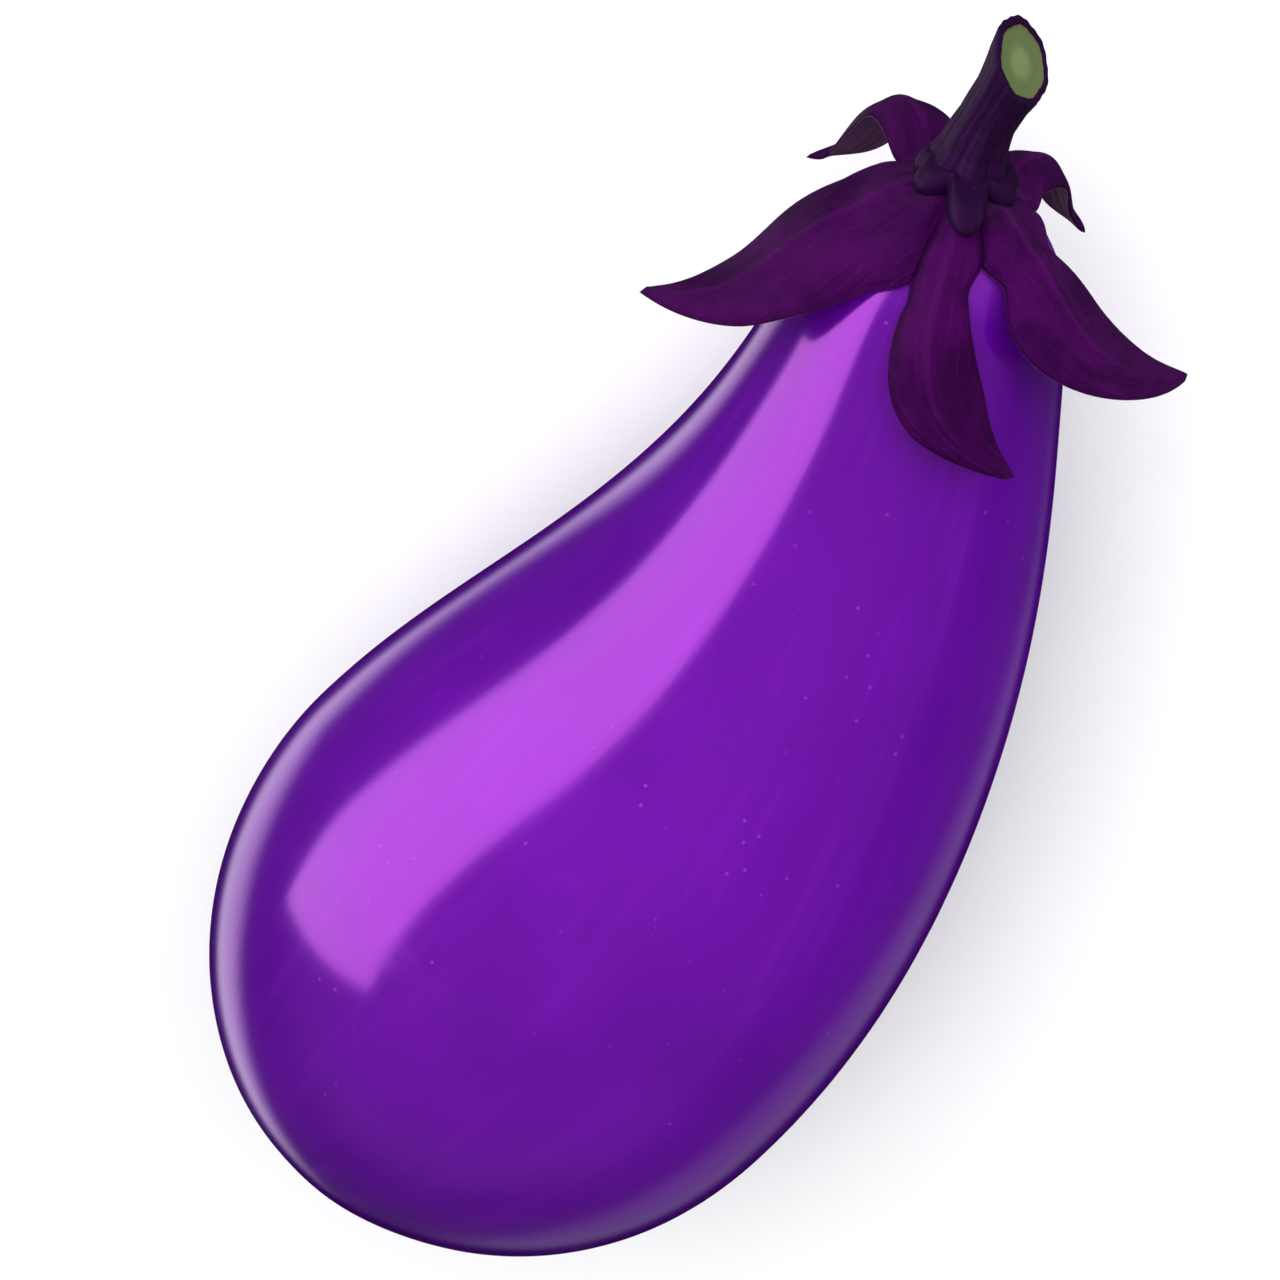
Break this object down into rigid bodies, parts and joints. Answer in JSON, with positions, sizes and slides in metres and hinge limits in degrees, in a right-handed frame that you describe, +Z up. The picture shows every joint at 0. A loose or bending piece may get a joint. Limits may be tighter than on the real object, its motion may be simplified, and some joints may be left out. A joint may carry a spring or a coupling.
{
  "type": "eggplant",
  "caption": "Whole purple eggplant lying on its side: a smooth, glossy, pear-shaped fruit with a bent neck, a calyx of pointed lobes and a short cut stem.",
  "frame": {"origin": "on the surface that it lies on, under the middle of its bounding box", "axes": "+X towards the stem end along its longest side, +Y towards the side that the neck bends to, +Z up"},
  "size_m": [0.2092, 0.0982, 0.0953],
  "materials": {
    "skin": "smooth, tight, glossy skin in vivid purple",
    "calyx": "dull, dark plum-purple, fleshy",
    "stem": "dull, very dark purple, with a pale green cut end"
  },
  "bodies": {
    "root": {"fruit": "skin", "calyx": "calyx", "stem": "stem"}
  },
  "joints": []
}
